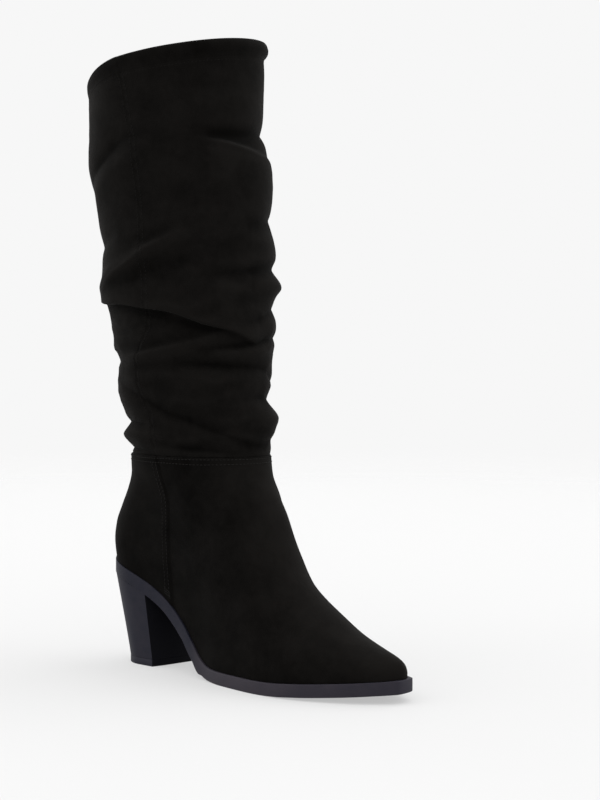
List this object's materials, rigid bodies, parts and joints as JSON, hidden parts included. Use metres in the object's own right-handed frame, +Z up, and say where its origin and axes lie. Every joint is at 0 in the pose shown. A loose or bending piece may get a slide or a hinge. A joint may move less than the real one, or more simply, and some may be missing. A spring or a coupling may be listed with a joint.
{
  "type": "slouch boot",
  "caption": "Knee-high pull-on boot with a pointed snipped toe, block heel, thin outsole and a soft shaft slid down into folds above the ankle seam.",
  "frame": {"origin": "middle of the heel's tread, on the floor", "axes": "+X towards the toe, +Y towards the inner side of the foot, +Z up"},
  "size_m": [0.2738, 0.123, 0.4484],
  "materials": {
    "suede": "soft napped black suede",
    "sole_edge": "satin dark painted edge",
    "heel_tread": "matte moulded rubber",
    "insole_lining": "smooth dark lining leather"
  },
  "bodies": {
    "root": {"outsole": "sole_edge", "heel": "sole_edge", "heel_tip": "heel_tread", "insole": "insole_lining", "foot_upper": "suede", "shaft": "suede", "collar_binding": "suede"}
  },
  "joints": []
}
